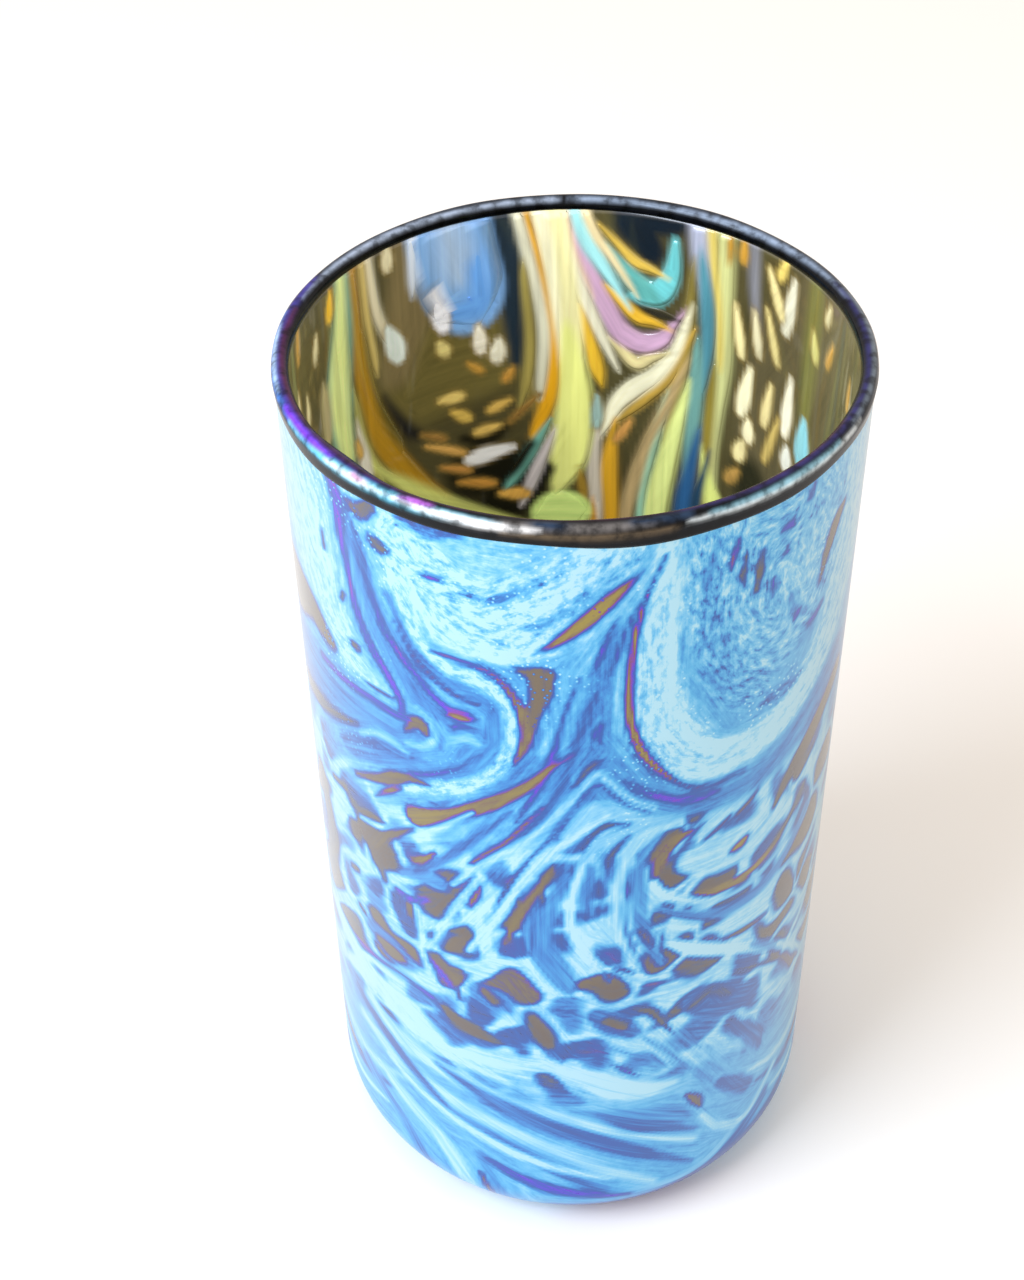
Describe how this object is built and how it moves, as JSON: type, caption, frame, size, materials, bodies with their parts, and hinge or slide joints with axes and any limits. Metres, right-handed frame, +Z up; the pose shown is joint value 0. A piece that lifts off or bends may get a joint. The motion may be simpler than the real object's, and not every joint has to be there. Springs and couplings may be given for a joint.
{
  "type": "art glass vase",
  "caption": "Hand blown cylindrical glass vase with a rounded heel, marbled silver-blue lustre skin, smoky inlaid inside and a dark wrapped lip.",
  "frame": {"origin": "centre of the foot, on the surface that the vase stands on", "axes": "+Z up along the vase's axis; the side with the pale swags and the lip's lap faces -Y"},
  "size_m": [0.0896, 0.0896, 0.167],
  "materials": {
    "smoke_olive_glass": "fire-polished transparent olive-brown glass",
    "lime_glass": "opaque lime-yellow glass",
    "amber_glass": "amber glass",
    "teal_glass": "opaque teal glass",
    "lilac_glass": "opaque lilac glass",
    "sky_glass": "opaque sky-blue glass",
    "cream_glass": "opaque cream glass chips",
    "white_glass": "opaque white glass chips",
    "honey_glass": "honey-amber glass chips",
    "silver_blue_lustre": "marbled silver-blue lustre glass, satin with a glossy coat",
    "dark_lip_glass": "black glass thread with an iridescent lustre"
  },
  "bodies": {
    "root": {"inner_gather": "smoke_olive_glass", "lime_trails": "lime_glass", "amber_trails": "amber_glass", "teal_trails": "teal_glass", "lilac_trails": "lilac_glass", "blue_pools": "sky_glass", "cream_chips": "cream_glass", "white_chips": "white_glass", "amber_chips": "honey_glass", "lustre_overlay": "silver_blue_lustre", "lip_wrap": "dark_lip_glass"}
  },
  "joints": []
}
